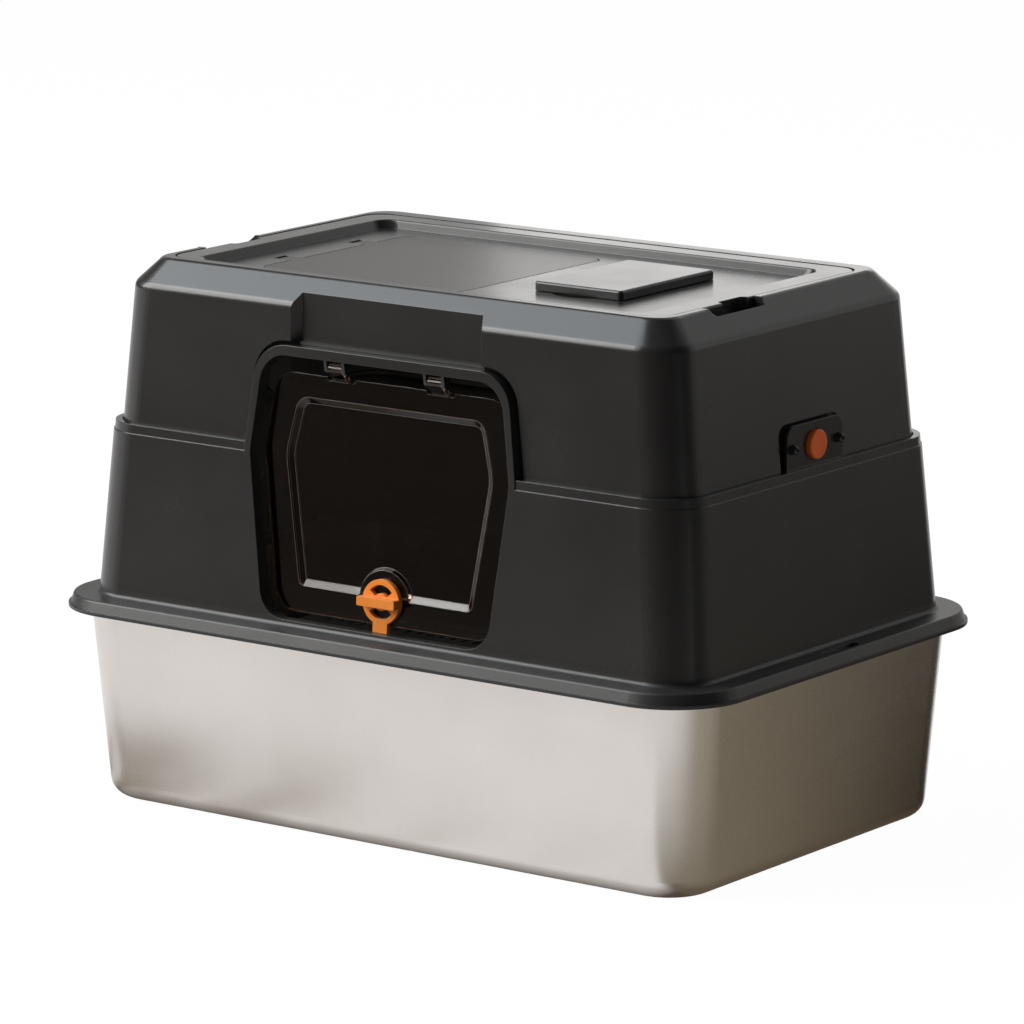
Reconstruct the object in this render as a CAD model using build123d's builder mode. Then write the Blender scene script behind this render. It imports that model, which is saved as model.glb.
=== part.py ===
from build123d import *
import os
from collections import namedtuple
from math import hypot, pi, tan

os.makedirs("parts", exist_ok=True)

# Sizes are in millimetres. X runs along the length, the doorway faces -Y and Z points up.
# The origin is on the ground, under the middle of the box.

# Flange of the lower shell, the widest part of the box
flange_length = 617.0
flange_depth = 409.0
flange_radius = 55.0
flange_width = 23.7
flange_thickness = 2.5
lip_height = 10.7
lip_thickness = 2.4
lip_flare = 3.6
lip_bead = 0.8
lip_bead_height = 2.6
lip_edge_radius = 2.0
wall_foot_radius = 3.0
flange_slot_length = 44.0
flange_slot_width = 8.0
flange_slot_margin = 4.0
flange_slot_y = 5.0

# Steel pan
pan_height = 159.6
pan_inset = 17.5
pan_lean = 10.5
pan_radius = 42.0
pan_foot_radius = 16.0
steel = 1.0
pan_hem = 4.0
hem_gap = 1.0
rest_gap = 0.3

# Walls of the lower shell
wall = 2.5
wall_height = 135.6
wall_lean_side = 10.7
wall_lean_front = 7.9
wall_radius = 37.0
rim_band_height = 7.0
rim_band_step = 0.8
socket_depth = 8.0
socket_shelf = 8.0
shelf_thickness = 3.0

# Hood
rim_ledge = 6.4
hood_radius = 32.0
hood_height = 107.5
hood_lean_side = 10.3
hood_lean_front = 3.9
shoulder_run = 19.0
shoulder_rise = 19.3
roof_radius = 19.0
shoulder_edge_radius = 8.0
roof_edge_radius = 5.0
hood_clearance = 0.3
recess_width = 178.0
recess_depth = 8.0
recess_draft = 32.0
recess_start = 50.0

# Doorway, measured up the sloping front wall from the flange
sill_height = 4.7
doorway_half_sill = 105.5
doorway_half_rim = 121.5
doorway_half_top = 111.0
doorway_below_rim = 6.0
portal_rise = 77.0
portal_side = 5.5
portal_top = 7.6
portal_depth = 11.3
sill_corner_radius = 23.0
jamb_bend_radius = 40.0
portal_corner_radius = 24.0
hood_gap_side = 3.2
hood_gap_top = 2.5

# Front flap and its hinges
flap_inset = 13.5
flap_thickness = 2.5
flap_side_gap = 3.5
flap_sill_gap = 5.2
flap_top_gap = 14.0
flap_corner_radius = 19.0
panel_border_side = 21.0
panel_border_bottom = 20.0
panel_border_top = 17.5
panel_depth = 3.2
panel_draft = 57.0
panel_corner_radius = 12.0
panel_foot_radius = 6.0
hinge_spacing = 93.0
hinge_inset = 8.5
hinge_drop = 6.5
hinge_barrel_radius = 4.0
hinge_barrel_width = 13.0
hinge_cheek = 2.5
hinge_side_gap = 0.6
hinge_notch_radius = 3.2
door_pin_radius = 1.5
running_gap = 0.05

# Lock dial
dial_above_sill = 23.2
dial_radius = 17.2
dial_thickness = 4.0
dial_gap = 0.3
dial_plateau_radius = 23.5
dial_shaft_radius = 5.0
tongue_width = 13.5
tongue_reach = 27.0
tongue_gap = 0.4
tongue_sweep = 24.0
grip_length = 35.0
grip_height = 7.2
grip_proud = 7.0
window_inner_radius = 6.6
window_outer_radius = 13.0
window_start = 38.0
window_sweep = 104.0
dial_edge_radius = 1.2
retainer_radius = 10.0
retainer_thickness = 2.0

# Sieve step behind the sill
tread_width = 190.0
tread_depth = 84.0
tread_thickness = 2.5
tread_drop = 1.3
tread_gap = 0.3
tread_slot_length = 10.0
tread_slot_width = 4.0
tread_slot_pitch = 10.7
tread_slot_columns = 15
tread_slot_rows = 3
tread_row_pitch = 24.0

# Side latches
latch_y = 8.8
latch_above_rim = 15.5
tab_width = 75.6
tab_draft = 1.5
tab_rise = 33.0
tab_corner_radius = 9.0
pocket_gap = 1.2
pocket_gap_front = 5.0
pocket_floor_gap = 4.0
button_radius = 11.2
button_proud = 3.9
button_hole_gap = 0.6
button_travel = 5.0
collar_radius = 13.8
collar_thickness = 2.5
collar_gap = 0.3
housing_bore_radius = 14.2
housing_wall = 2.5
housing_depth = 22.0
housing_width = 72.0
housing_height = 34.0
peg_spacing = 60.8
peg_radius = 3.4
peg_chamfer = 0.9
peg_bore_radius = 1.4
peg_bore_depth = 7.0
peg_proud = 5.0
peg_hole_gap = 0.5
spring_radius = 7.0
spring_wire = 1.4
spring_turns = 5
spring_end_gap = 0.15
screw_spread_y = 44.0
screw_spread_z = 23.0
screw_radius = 1.4
screw_length = 4.9
screw_head_radius = 2.8
screw_head_height = 1.8

# Top lid
lid_margin_side = 6.9
lid_margin_front = 7.6
lid_margin_rear = 15.6
lid_radius = 18.0
lid_gap = 0.8
lid_rear_gap = 1.4
lid_floor_drop = 6.6
lid_plate = 2.5
lid_below_roof = 0.3
lid_border_side = 22.0
lid_border_front = 5.0
lid_border_rear = 20.0
lid_slope_side = 4.0
lid_slope_front = 2.0
lid_slope_rear = 1.5
lid_floor_radius = 14.0
lid_edge_radius = 1.5
lid_ledge = 8.0
lid_ledge_gap = 0.3
lid_axis_inset = 18.0
lid_axis_drop = 5.0
lid_pin_radius = 2.0
lid_pin_inner = 9.0
lid_pin_outer = 6.5
notch_length = 68.0
notch_inset = 49.0
notch_reach = 11.5
notch_lid_depth = 6.0
notch_lid_length = 34.0
notch_lid_shift = 11.0
notch_radius = 5.0

# Top flap in the lid
hatch_margin_left = 64.5
hatch_margin_right = 207.5
hatch_margin_front = 33.0
hatch_margin_rear = 46.0
hatch_radius = 10.0
hatch_gap = 1.0
hatch_ledge = 5.0
hatch_ledge_gap = 0.3
hatch_ledge_thickness = 2.2
arm_width = 14.0
arm_length = 13.0
arm_inset_front = 48.0
arm_inset_rear = 44.0
arm_gap = 0.6
arm_barrel_radius = 3.0
arm_axis_drop = 3.4
hatch_pin_radius = 1.5
hatch_cheek = 2.5

# Cover plate and deodoriser box
cover_margin_right = 86.5
cover_width = 80.0
cover_depth = 122.0
cover_rise = 7.5
cover_wall = 2.2
cover_corner_radius = 3.0
cover_edge_radius = 2.0
cover_floor_gap = 0.4
cover_rib_drop = 5.0
cover_rib_gap = 0.4
scoop_radius = 28.0
scoop_reach = 9.0
scoop_depth = 4.0
scoop_offset = -2.0
box_margin_side = 4.0
box_margin_front = 12.0
box_margin_rear = 4.0
box_radius = 5.0
box_wall = 2.0
box_depth = 34.0
box_flange = 5.0
box_slot_width = 4.0
box_slot_length = 56.0
box_slot_pitch = 12.0
box_slot_count = 8
pad_thickness = 16.0
pad_gap = 1.0

# Heights that follow from the sizes above
flange_top = pan_height + rest_gap + flange_thickness
flange_under = flange_top - flange_thickness
rim_top = flange_top + wall_height
socket_z = rim_top - socket_depth
shoulder_z = rim_top + hood_height
roof_z = shoulder_z + shoulder_rise
lid_top = roof_z - lid_below_roof
lid_floor = lid_top - lid_floor_drop
lid_under = lid_floor - lid_plate
latch_z = rim_top + latch_above_rim
SIDES = (1, -1)
PAST = 5.0
SAME = 0.01

# A rounded rectangle seen from above, at one height
Level = namedtuple("Level", "length depth radius z")


def inset(level, by, z=None):
    """The same outline moved inwards all round, kept at its height unless z is given."""
    radius = max(level.radius - by, 0.5)
    return Level(level.length - 2 * by, level.depth - 2 * by, radius, level.z if z is None else z)


def between(lower, upper, z):
    """The outline at height z of the straight-sided taper through two outlines."""
    share = (z - lower.z) / (upper.z - lower.z)
    mixed = [a + share * (b - a) for a, b in zip(lower[:3], upper[:3])]
    return Level(*mixed, z)


def outline(level):
    """Face of one outline."""
    with BuildSketch(Plane.XY.offset(level.z), mode=Mode.PRIVATE) as face:
        RectangleRounded(level.length, level.depth, level.radius)
    return face.sketch


def taper(lower, upper, mode=Mode.ADD):
    """Solid between two outlines, in the part being built."""
    loft(sections=[outline(lower), outline(upper)], ruled=True, mode=mode)


def upright(level, z, height, mode=Mode.ADD):
    """Straight block of one outline from z upwards."""
    extrude(outline(level._replace(z=z)), amount=height, mode=mode)


def ring(outer, inner, z, height):
    """Straight ring between two outlines from z upwards."""
    extrude(outline(outer._replace(z=z)) - outline(inner._replace(z=z)), amount=height)


def shifted_outline(level, y, mode=Mode.ADD):
    """Rounded rectangle whose middle lies at y, for a sketch that is being drawn."""
    with Locations((0, y)):
        RectangleRounded(level.length, level.depth, level.radius, mode=mode)


lip_run = lip_bead + lip_flare
flange_edge = Level(flange_length - 2 * lip_run, flange_depth - 2 * lip_run, flange_radius, flange_top)
lip_foot = inset(flange_edge, -lip_flare, flange_top - lip_height)
pan_mouth = Level(flange_length - 2 * pan_inset, flange_depth - 2 * pan_inset, pan_radius, pan_height)
pan_foot = inset(pan_mouth, pan_lean, 0)._replace(radius=pan_radius)
pan_rim = inset(flange_edge, lip_thickness + hem_gap, pan_height)
wall_base = Level(flange_length - 2 * flange_width, flange_depth - 2 * flange_width, wall_radius, flange_top)
wall_rim = Level(wall_base.length - 2 * wall_lean_side, wall_base.depth - 2 * wall_lean_front, wall_radius, rim_top)
wall_foot = between(wall_base, wall_rim, flange_under)
band_foot = between(wall_base, wall_rim, rim_top - rim_band_height)
hood_base = Level(wall_rim.length - 2 * rim_ledge, wall_rim.depth - 2 * rim_ledge, hood_radius, rim_top)
hood_shoulder = Level(hood_base.length - 2 * hood_lean_side, hood_base.depth - 2 * hood_lean_front, hood_radius, shoulder_z)
hood_roof = inset(hood_shoulder, shoulder_run, roof_z)._replace(radius=roof_radius)
hood_foot = between(hood_base, hood_shoulder, socket_z)
socket = inset(hood_foot, -hood_clearance)
bevel_share = tan(pi / 8)

# Planes of the front wall and of the hood's front, with local Y up the slope
door_plane = Plane(
    origin=(0, -wall_base.depth / 2, flange_top),
    x_dir=(1, 0, 0),
    z_dir=(0, -wall_height, wall_lean_front),
)
hood_plane = Plane(
    origin=(0, -hood_base.depth / 2, rim_top),
    x_dir=(1, 0, 0),
    z_dir=(0, -hood_height, hood_lean_front),
)
rim_rise = hypot(wall_height, wall_lean_front)
doorway_rim = rim_rise - doorway_below_rim
portal_height = rim_rise + portal_rise
doorway_top = portal_height - portal_top
flap_bottom = sill_height + flap_sill_gap
flap_top = doorway_top - flap_top_gap
hinge_height = doorway_top - hinge_drop
dial_height = sill_height + dial_above_sill
flap_back = flap_inset + flap_thickness
hinge_xs = (-hinge_spacing / 2, hinge_spacing / 2)


def arch(plane, halves, heights, radii):
    """Doorway-shaped face: narrow at the foot, widest at the rim and drawn in again at the top."""
    with BuildSketch(plane, mode=Mode.PRIVATE) as face:
        right = [(half, height) for half, height in zip(halves, heights)]
        left = [(-half, height) for half, height in reversed(right)]
        with BuildLine():
            Polyline(*right, *left, close=True)
        make_face()
        for half, height, radius in zip(halves, heights, radii):
            corners = [v for v in face.vertices() if hypot(abs(v.X) - half, v.Y - height) < SAME]
            if radius:
                fillet(corners, radius)
    return face.sketch


def door_yz(height, depth):
    """World Y and Z of a point in the door, by its height up the slope and its depth behind the face."""
    point = door_plane.from_local_coords((0, height, -depth))
    return point.Y, point.Z


def side_sketch_plane(x):
    """Upright plane across the X axis, with Y and Z as its sketch directions."""
    return Plane(origin=(x, 0, 0), x_dir=(0, 1, 0), z_dir=(1, 0, 0))


def bars_along_x(side, start, end, radius, points, mode=Mode.ADD):
    """Round bars along X from start to end, counted outwards from the middle, at the given Y and Z places."""
    with BuildSketch(side_sketch_plane(side * start), mode=Mode.PRIVATE) as face:
        with Locations(*points):
            Circle(radius)
    extrude(face.sketch, amount=side * (end - start), dir=(1, 0, 0), mode=mode)


# Steel pan: a deep drawing with rounded foot, out-turned rim and a turned-down hem
with BuildPart() as pan_hollow:
    taper(inset(between(pan_foot, pan_mouth, steel), steel), inset(pan_mouth, steel))
    fillet(pan_hollow.faces().sort_by(Axis.Z)[0].edges(), pan_foot_radius - steel)
    upright(inset(pan_mouth, steel), pan_height - steel / 10, PAST)

with BuildPart() as steel_pan:
    taper(pan_foot, pan_mouth)
    fillet(steel_pan.faces().sort_by(Axis.Z)[0].edges(), pan_foot_radius)
    ring(pan_rim, inset(pan_mouth, steel), pan_height - steel, steel)
    ring(pan_rim, inset(pan_rim, steel), pan_height - pan_hem, pan_hem)
    add(pan_hollow.part, mode=Mode.SUBTRACT)
steel_pan.part.label = "steel_pan"
export_step(steel_pan.part, "parts/steel_pan.step")

# Lower shell: flange and lip over the pan, tapered walls, rim socket, doorway frame and side tabs
shelf_z = socket_z - shelf_thickness
tab_x = socket.length / 2 + rest_gap
tab_foot = socket_z - shelf_thickness / 2
tab_top = rim_top + tab_rise
tab_half = tab_width / 2
latch_center = [(latch_y, latch_z)]
peg_places = [(latch_y - peg_spacing / 2, latch_z), (latch_y + peg_spacing / 2, latch_z)]
screw_yzs = [
    (latch_y - screw_spread_y / 2, latch_z + screw_spread_z / 2),
    (latch_y + screw_spread_y / 2, latch_z - screw_spread_z / 2),
]
doorway_halves = (doorway_half_sill, doorway_half_rim, doorway_half_top)
portal_halves = [half + portal_side for half in doorway_halves]
opening_face = arch(
    door_plane,
    doorway_halves,
    (sill_height, doorway_rim, doorway_top),
    (sill_corner_radius, jamb_bend_radius, portal_corner_radius),
)
portal_face = arch(
    door_plane,
    portal_halves,
    (0, doorway_rim, portal_height),
    (0, jamb_bend_radius, portal_corner_radius + portal_side),
)
axis_y, axis_z = door_yz(hinge_height, hinge_inset)
bar_y, bar_z = door_yz(doorway_top + portal_top / 2, portal_depth / 2)

with BuildPart() as lower_shell:
    taper(lip_foot, flange_edge)
    fillet(lower_shell.faces().sort_by(Axis.Z)[-1].edges(), lip_edge_radius)
    ring(inset(lip_foot, -lip_bead), inset(lip_foot, lip_thickness), lip_foot.z, lip_bead_height)
    taper(
        inset(between(lip_foot, flange_edge, lip_foot.z - PAST), lip_thickness),
        inset(between(lip_foot, flange_edge, flange_under), lip_thickness),
        mode=Mode.SUBTRACT,
    )
    # Walls that end in a stepped-back band under the rim
    taper(wall_foot, band_foot)
    taper(inset(band_foot, rim_band_step), inset(wall_rim, rim_band_step))
    # Fillet where the wall stands on the flange
    foot_edges = lower_shell.edges().filter_by_position(Axis.Z, flange_top - SAME, flange_top + SAME)
    foot_half = (wall_base.length / 2 + SAME, wall_base.depth / 2 + SAME)
    foot_edges = [e for e in foot_edges if abs(e.center().X) < foot_half[0] and abs(e.center().Y) < foot_half[1]]
    fillet(foot_edges, wall_foot_radius)
    inner_foot = inset(between(wall_base, wall_rim, flange_under - PAST), wall)
    inner_shelf = inset(between(wall_base, wall_rim, shelf_z), wall)
    taper(inner_foot, inner_shelf, mode=Mode.SUBTRACT)
    upright(inset(socket, socket_shelf), shelf_z - PAST, 2 * PAST, mode=Mode.SUBTRACT)
    upright(socket, socket_z, socket_depth + PAST, mode=Mode.SUBTRACT)
    extrude(portal_face, amount=-portal_depth)
    extrude(opening_face, amount=PAST, mode=Mode.SUBTRACT)
    extrude(opening_face, amount=-portal_depth - socket_shelf, mode=Mode.SUBTRACT)
    # Room behind the sill for the turning tongue of the dial
    tongue_inset = flap_inset - dial_gap - dial_thickness - tongue_gap
    with BuildSketch(door_plane.offset(-tongue_inset)):
        Rectangle(2 * tongue_sweep, 2 * sill_height)
    extrude(amount=-portal_depth, mode=Mode.SUBTRACT)
    # Cheeks that carry the flap's hinge pins, under the doorway's top bar
    for hinge_x in hinge_xs:
        for side in SIDES:
            cheek_x = hinge_x + side * (hinge_barrel_width / 2 + hinge_side_gap + hinge_cheek / 2)
            with BuildSketch(side_sketch_plane(cheek_x)):
                with Locations((axis_y, axis_z)):
                    Circle(hinge_barrel_radius)
                with Locations((bar_y, bar_z)):
                    Circle(portal_top / 2 - rest_gap)
                make_hull()
                with Locations((axis_y, axis_z)):
                    Circle(door_pin_radius + running_gap, mode=Mode.SUBTRACT)
            extrude(amount=hinge_cheek / 2, both=True)
    # Tab on each side wall, with holes for the button and the two pegs, and a slot in the flange
    for side in SIDES:
        with BuildSketch(side_sketch_plane(side * tab_x)) as tab_face:
            with BuildLine():
                Polyline(
                    (latch_y - tab_half, tab_foot),
                    (latch_y + tab_half, tab_foot),
                    (latch_y + tab_half - tab_draft, tab_top),
                    (latch_y - tab_half + tab_draft, tab_top),
                    close=True,
                )
            make_face()
            fillet(tab_face.vertices().group_by(Axis.Y)[-1], tab_corner_radius)
        extrude(amount=-side * wall)
        tab_cut = (tab_x - 2 * wall, tab_x + 2 * wall)
        bars_along_x(side, *tab_cut, button_radius + button_hole_gap, latch_center, Mode.SUBTRACT)
        bars_along_x(side, *tab_cut, peg_radius + peg_hole_gap, peg_places, Mode.SUBTRACT)
        slot_x = flange_edge.length / 2 - flange_slot_margin - flange_slot_width / 2
        with BuildSketch(Plane.XY.offset(flange_top)):
            with Locations((side * slot_x, flange_slot_y)):
                SlotOverall(flange_slot_length, flange_slot_width, rotation=90)
        extrude(amount=-flange_thickness, mode=Mode.SUBTRACT)
lower_shell.part.label = "lower_shell"
export_step(lower_shell.part, "parts/lower_shell.step")

# Hood: two tapers hollowed to one wall, a front recess, the lid's rebate and pockets behind the tabs
lid_length = hood_roof.length - 2 * lid_margin_side
lid_front = lid_margin_front - hood_roof.depth / 2
lid_rear = hood_roof.depth / 2 - lid_margin_rear
lid_depth = lid_rear - lid_front
lid_middle = (lid_rear + lid_front) / 2
lid_axis_y = lid_rear - lid_axis_inset
lid_axis_z = roof_z - lid_axis_drop
lid_axis = [(lid_axis_y, lid_axis_z)]
lid_hole = Level(lid_length + 2 * lid_gap, lid_depth + lid_gap + lid_rear_gap, lid_radius + lid_gap, roof_z)
lid_hole_middle = lid_middle + (lid_rear_gap - lid_gap) / 2
ledge_top = lid_under - lid_ledge_gap
pocket_x = tab_x - wall - pocket_floor_gap
pocket_y = latch_y + (pocket_gap - pocket_gap_front) / 2
pocket_width = tab_width + pocket_gap + pocket_gap_front
pocket_top = tab_top + pocket_gap
notch_front = lid_front + notch_inset
notch_middle = notch_front + notch_length / 2
recess_top = hypot(hood_height, hood_lean_front) + shoulder_rise + PAST
hood_gate_halves = [half + hood_gap_side for half in (portal_halves[1], portal_halves[1], portal_halves[2])]
hood_gate_radii = (0, jamb_bend_radius, portal_corner_radius + portal_side)
hood_gate_top = doorway_top - rim_rise + hood_gap_top
hood_gate = arch(hood_plane.offset(PAST), hood_gate_halves, (-2 * socket_depth, 0, hood_gate_top), hood_gate_radii)
portal_seat_top = portal_rise + hood_gap_top
portal_seat = arch(hood_plane.offset(PAST), hood_gate_halves, (-2 * socket_depth, 0, portal_seat_top), hood_gate_radii)


def recess_block(depth, extra):
    """Drafted block of the front recess, widened by extra for the inner face of the wall."""
    with BuildSketch(hood_plane, mode=Mode.PRIVATE) as face:
        with Locations((0, (recess_start - extra + recess_top) / 2)):
            Rectangle(recess_width + 2 * extra, recess_top - recess_start + extra)
    return extrude(face.sketch, amount=-depth, taper=recess_draft, mode=Mode.PRIVATE)


def pocket_block(side, floor_x, extra):
    """Block of the pocket behind one tab, from floor_x outwards."""
    with BuildSketch(side_sketch_plane(side * floor_x), mode=Mode.PRIVATE) as face:
        with Locations((pocket_y, (socket_z - PAST + pocket_top + extra) / 2)):
            Rectangle(pocket_width + 2 * extra, pocket_top + extra - socket_z + PAST)
        fillet(face.vertices().group_by(Axis.Y)[-1], tab_corner_radius + pocket_gap + extra)
    return extrude(face.sketch, amount=side * flange_width, mode=Mode.PRIVATE)


def notch_block(side):
    """Walls and floor round one finger notch, cut back to the bevel of the roof."""
    with BuildPart(mode=Mode.PRIVATE) as block:
        with BuildSketch(Plane.XY.offset(ledge_top - wall)):
            with Locations((side * (lid_hole.length + notch_reach) / 2, notch_middle)):
                RectangleRounded(notch_reach + 2 * wall, notch_length + 2 * wall, notch_radius)
        extrude(amount=roof_z - ledge_top + wall)
        taper(hood_shoulder, hood_roof, mode=Mode.INTERSECT)
    return block.part


with BuildPart() as hood_hollow:
    taper(inset(between(hood_base, hood_shoulder, socket_z - PAST), wall),
          inset(between(hood_base, hood_shoulder, shoulder_z - bevel_share * wall), wall))
    taper(inset(between(hood_base, hood_shoulder, shoulder_z - bevel_share * wall), wall),
          inset(hood_roof, bevel_share * wall, roof_z - wall))
    add(recess_block(recess_depth + wall, wall), mode=Mode.SUBTRACT)
    for side in SIDES:
        add(pocket_block(side, pocket_x - wall, wall), mode=Mode.SUBTRACT)

with BuildPart() as hood:
    taper(hood_foot, hood_shoulder)
    taper(hood_shoulder, hood_roof)
    fillet(hood.edges().filter_by_position(Axis.Z, shoulder_z - SAME, shoulder_z + SAME), shoulder_edge_radius)
    fillet(hood.faces().sort_by(Axis.Z)[-1].edges(), roof_edge_radius)
    add(recess_block(recess_depth, 0), mode=Mode.SUBTRACT)
    for side in SIDES:
        add(pocket_block(side, pocket_x, 0), mode=Mode.SUBTRACT)
    add(hood_hollow.part, mode=Mode.SUBTRACT)
    extrude(hood_gate, amount=-portal_depth - recess_depth - PAST, mode=Mode.SUBTRACT)
    extrude(portal_seat, amount=-recess_depth - PAST, mode=Mode.SUBTRACT)
    # Rebate that the lid lies in, open at the back where the lid's rear edge swings down
    with BuildSketch(Plane.XY.offset(ledge_top)):
        shifted_outline(inset(lid_hole, -wall), lid_hole_middle)
    extrude(amount=roof_z - ledge_top)
    with BuildSketch(Plane.XY.offset(ledge_top - wall)):
        shifted_outline(inset(lid_hole, -wall), lid_hole_middle)
        shifted_outline(inset(lid_hole, lid_ledge), lid_hole_middle, mode=Mode.SUBTRACT)
        with Locations((0, lid_axis_y - lid_ledge)):
            Rectangle(lid_hole.length, lid_depth, align=(Align.CENTER, Align.MIN), mode=Mode.SUBTRACT)
    extrude(amount=wall)
    for side in SIDES:
        add(notch_block(side))
    with BuildSketch(Plane.XY.offset(ledge_top)):
        shifted_outline(lid_hole, lid_hole_middle)
    extrude(amount=roof_z - ledge_top, mode=Mode.SUBTRACT)
    for side in SIDES:
        # Finger notch in the roof's edge, with a floor level with the ledge
        with BuildSketch(Plane.XY.offset(ledge_top)):
            with Locations((side * lid_hole.length / 2, notch_middle)):
                RectangleRounded(2 * notch_reach, notch_length, notch_radius)
        extrude(amount=roof_z - ledge_top + PAST, mode=Mode.SUBTRACT)
        # Holes for the button, the pegs, the screws and the lid's hinge pin
        wall_cut = (pocket_x - 2 * wall, pocket_x + 2 * wall)
        bars_along_x(side, *wall_cut, button_radius + button_hole_gap, latch_center, Mode.SUBTRACT)
        bars_along_x(side, *wall_cut, peg_radius + peg_hole_gap / 2, peg_places, Mode.SUBTRACT)
        bars_along_x(side, *wall_cut, screw_radius + running_gap, screw_yzs, Mode.SUBTRACT)
        pin_cut = (lid_length / 2, lid_length / 2 + lid_pin_outer)
        bars_along_x(side, *pin_cut, lid_pin_radius + running_gap, lid_axis, Mode.SUBTRACT)
hood.part.label = "hood"
export_step(hood.part, "parts/hood.step")

# Sieve step: slotted tread behind the sill, level with the flange
tread_top = flange_top - tread_drop
tread_front = wall - between(wall_base, wall_rim, tread_top).depth / 2 + tread_gap
with BuildPart() as sieve_step:
    with BuildSketch(Plane.XY.offset(tread_top - tread_thickness)):
        with Locations((0, tread_front)):
            Rectangle(tread_width, tread_depth, align=(Align.CENTER, Align.MIN))
        with Locations((0, tread_front + tread_depth / 2)):
            with GridLocations(tread_slot_pitch, tread_row_pitch, tread_slot_columns, tread_slot_rows):
                SlotOverall(tread_slot_length, tread_slot_width, rotation=90, mode=Mode.SUBTRACT)
    extrude(amount=tread_thickness)
sieve_step.part.label = "sieve_step"
export_step(sieve_step.part, "parts/sieve_step.step")

# Front flap: smoked clear plate with a dished panel, a half-round seat for the dial and two hinge lugs
flap_front_plane = door_plane.offset(-flap_inset)
flap_halves = [half - flap_side_gap for half in doorway_halves]
flap_face = arch(
    flap_front_plane,
    flap_halves,
    (flap_bottom, doorway_rim, flap_top),
    (flap_corner_radius, jamb_bend_radius, flap_corner_radius),
)
panel_halves = [half - panel_border_side for half in flap_halves]
panel_heights = (flap_bottom + panel_border_bottom, doorway_rim, flap_top - panel_border_top)
panel_radii = (panel_foot_radius, jamb_bend_radius, panel_corner_radius)
panel_face = arch(flap_front_plane, panel_halves, panel_heights, panel_radii)
panel_back_face = arch(door_plane.offset(-flap_back), panel_halves, panel_heights, panel_radii)
lug_root_y, lug_root_z = door_yz(flap_top - flap_thickness, flap_inset + flap_thickness / 2)
seat_inset = flap_inset + panel_depth

with BuildPart() as front_flap:
    extrude(flap_face, amount=-flap_thickness)
    extrude(panel_back_face, amount=-panel_depth, taper=panel_draft)
    extrude(panel_face, amount=-panel_depth, taper=panel_draft, mode=Mode.SUBTRACT)
    with BuildSketch(flap_front_plane):
        with Locations((0, dial_height)):
            Circle(dial_plateau_radius)
        with Locations((0, flap_bottom + 2 * panel_depth)):
            Rectangle(
                4 * dial_plateau_radius,
                4 * dial_plateau_radius,
                align=(Align.CENTER, Align.MIN),
                mode=Mode.INTERSECT,
            )
    extrude(amount=-panel_depth, taper=-panel_draft / 2)
    # Seat for the retaining washer on the back and the hole for the dial's shaft
    with BuildSketch(door_plane.offset(-seat_inset)):
        with Locations((0, dial_height)):
            Circle(retainer_radius + 2 * dial_gap)
    extrude(amount=-panel_depth, mode=Mode.SUBTRACT)
    with BuildSketch(flap_front_plane):
        with Locations((0, dial_height)):
            Circle(dial_shaft_radius + running_gap)
    extrude(amount=-2 * seat_inset, mode=Mode.SUBTRACT)
    notch_step = hinge_barrel_width / 2 + hinge_notch_radius + hinge_side_gap
    for hinge_x in hinge_xs:
        with BuildSketch(flap_front_plane):
            with Locations((hinge_x - notch_step, flap_top), (hinge_x + notch_step, flap_top)):
                Circle(hinge_notch_radius)
        extrude(amount=-flap_thickness, mode=Mode.SUBTRACT)
        with BuildSketch(side_sketch_plane(hinge_x)):
            with Locations((axis_y, axis_z)):
                Circle(hinge_barrel_radius)
            with Locations((lug_root_y, lug_root_z)):
                Circle(flap_thickness / 2)
            make_hull()
            with Locations((axis_y, axis_z)):
                Circle(door_pin_radius + running_gap, mode=Mode.SUBTRACT)
        extrude(amount=hinge_barrel_width / 2, both=True)
front_flap.part.label = "front_flap"
export_step(front_flap.part, "parts/front_flap.step")

# Hinge pins of the front flap
door_pin_length = hinge_barrel_width + 2 * (hinge_side_gap + hinge_cheek)
for name, hinge_x in zip(("left", "right"), hinge_xs):
    with BuildPart() as door_hinge_pin:
        with BuildSketch(side_sketch_plane(hinge_x)):
            with Locations((axis_y, axis_z)):
                Circle(door_pin_radius)
        extrude(amount=door_pin_length / 2, both=True)
    door_hinge_pin.part.label = "door_hinge_pin_" + name
    export_step(door_hinge_pin.part, "parts/door_hinge_pin_" + name + ".step")

# Lock dial: disc with two crescent windows, a grip bar, a tongue behind the sill and a shaft through the flap
dial_back_plane = door_plane.offset(-flap_inset + dial_gap)
with BuildPart() as lock_dial:
    with BuildSketch(dial_back_plane):
        with Locations((0, dial_height)):
            Circle(dial_radius)
            Rectangle(tongue_width, tongue_reach, align=(Align.CENTER, Align.MAX))
        for start in (window_start, 180 + window_start):
            with BuildLine():
                outer = CenterArc((0, dial_height), window_outer_radius, start, window_sweep)
                inner = CenterArc((0, dial_height), window_inner_radius, start, window_sweep)
                Line(outer @ 0, inner @ 0)
                Line(outer @ 1, inner @ 1)
            make_face(mode=Mode.SUBTRACT)
    extrude(amount=dial_thickness)
    with BuildSketch(dial_back_plane.offset(dial_thickness)) as grip_face:
        with Locations((0, dial_height)):
            Rectangle(grip_length, grip_height)
        fillet(grip_face.vertices(), dial_edge_radius)
    extrude(amount=grip_proud)
    with BuildSketch(dial_back_plane):
        with Locations((0, dial_height)):
            Circle(dial_shaft_radius)
    extrude(amount=-panel_depth - 2 * dial_gap - retainer_thickness)
lock_dial.part.label = "lock_dial"
export_step(lock_dial.part, "parts/lock_dial.step")

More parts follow.
